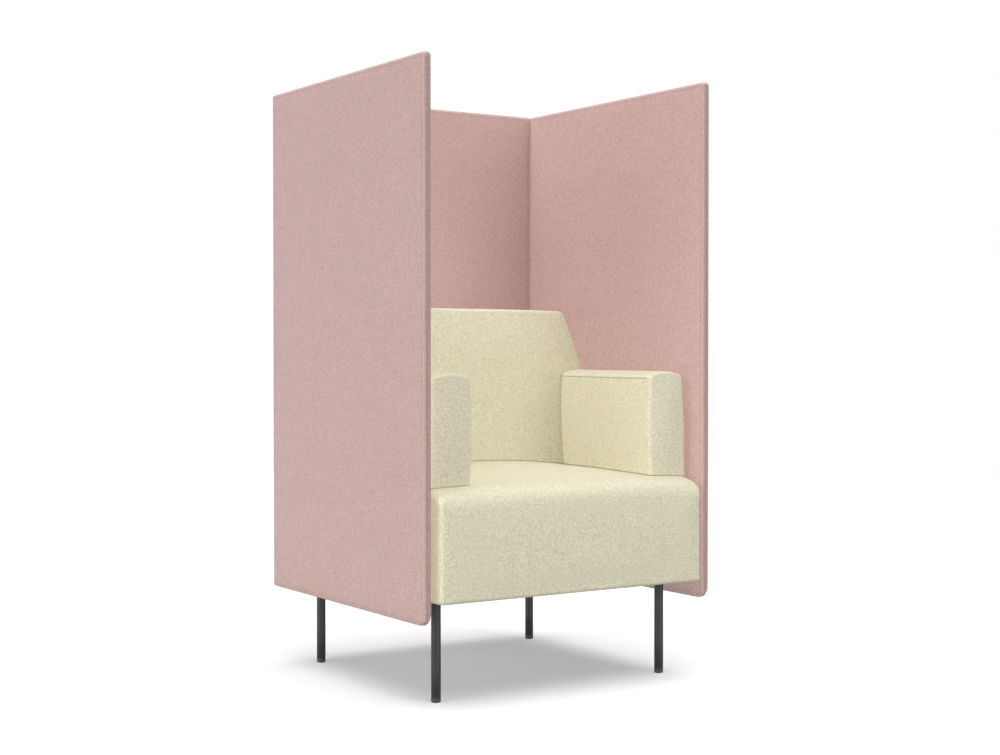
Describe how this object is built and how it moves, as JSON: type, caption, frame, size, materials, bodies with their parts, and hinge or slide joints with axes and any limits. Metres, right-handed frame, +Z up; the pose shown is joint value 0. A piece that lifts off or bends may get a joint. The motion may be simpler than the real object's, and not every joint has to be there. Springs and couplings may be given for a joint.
{
  "type": "acoustic high back lounge chair",
  "caption": "Padded lounge chair with arms on slim steel legs, closed in at its sides and rear by tall, thin upholstered acoustic panels.",
  "frame": {"origin": "on the floor, at the middle of the chair's footprint", "axes": "+Z up; -Y the way the sitter faces; +X to the right as seen from the front"},
  "size_m": [0.723, 0.706, 1.297],
  "materials": {
    "cream_fabric": "matt woven upholstery cloth, cream",
    "pink_fabric": "matt woven upholstery cloth, dusty pink",
    "black_steel": "satin black powder coat on steel tube",
    "black_plastic": "moulded black nylon",
    "zinc_steel": "bright zinc plate",
    "foam": "cut polyurethane foam",
    "plywood": "raw birch plywood",
    "webbing": "elastic upholstery webbing",
    "dust_cloth": "black non-woven base cloth"
  },
  "bodies": {
    "chair": {"seat_cover": "cream_fabric", "seat_foam": "foam", "seat_rail_front": "plywood", "seat_rail_rear": "plywood", "seat_rail_right": "plywood", "seat_rail_left": "plywood", "corner_block_front_left": "plywood", "corner_block_front_right": "plywood", "corner_block_rear_left": "plywood", "corner_block_rear_right": "plywood", "seat_webbing_1": "webbing", "seat_webbing_2": "webbing", "seat_webbing_3": "webbing", "seat_webbing_4": "webbing", "base_cloth": "dust_cloth", "arm_cover_right": "cream_fabric", "arm_cover_left": "cream_fabric", "arm_foam_right": "foam", "arm_foam_left": "foam", "arm_board_right": "plywood", "arm_board_left": "plywood", "back_cover": "cream_fabric", "back_foam": "foam", "lumbar_board": "plywood", "back_gable_left": "plywood", "back_gable_right": "plywood", "leg_front_left": "black_steel", "leg_front_right": "black_steel", "leg_rear_left": "black_steel", "leg_rear_right": "black_steel", "leg_insert_front_left": "black_plastic", "leg_insert_front_right": "black_plastic", "leg_insert_rear_left": "black_plastic", "leg_insert_rear_right": "black_plastic", "panel_right_cover": "pink_fabric", "panel_left_cover": "pink_fabric", "panel_right_board": "plywood", "panel_left_board": "plywood", "panel_back_cover": "pink_fabric", "panel_back_board": "plywood", "panel_bolt_right_front": "zinc_steel", "panel_bolt_left_front": "zinc_steel", "panel_bolt_right_rear": "zinc_steel", "panel_bolt_left_rear": "zinc_steel", "panel_spacer_right_front": "zinc_steel", "panel_spacer_left_front": "zinc_steel", "panel_spacer_right_rear": "zinc_steel", "panel_spacer_left_rear": "zinc_steel", "panel_bolt_back_left": "zinc_steel", "panel_bolt_back_right": "zinc_steel", "panel_spacer_back_left": "zinc_steel", "panel_spacer_back_right": "zinc_steel", "panel_stud_right_lower": "zinc_steel", "panel_stud_left_lower": "zinc_steel", "panel_stud_right_upper": "zinc_steel", "panel_stud_left_upper": "zinc_steel"},
    "glide_front_left": {"glide_front_left": "black_plastic"},
    "glide_front_right": {"glide_front_right": "black_plastic"},
    "glide_rear_left": {"glide_rear_left": "black_plastic"},
    "glide_rear_right": {"glide_rear_right": "black_plastic"}
  },
  "joints": [
    {"name": "level_front_left", "type": "slide", "parent": "chair", "child": "glide_front_left", "axis": [0, 0, -1], "range_m": [0, 0.01]},
    {"name": "level_front_right", "type": "slide", "parent": "chair", "child": "glide_front_right", "axis": [0, 0, -1], "range_m": [0, 0.01]},
    {"name": "level_rear_left", "type": "slide", "parent": "chair", "child": "glide_rear_left", "axis": [0, 0, -1], "range_m": [0, 0.01]},
    {"name": "level_rear_right", "type": "slide", "parent": "chair", "child": "glide_rear_right", "axis": [0, 0, -1], "range_m": [0, 0.01]}
  ]
}
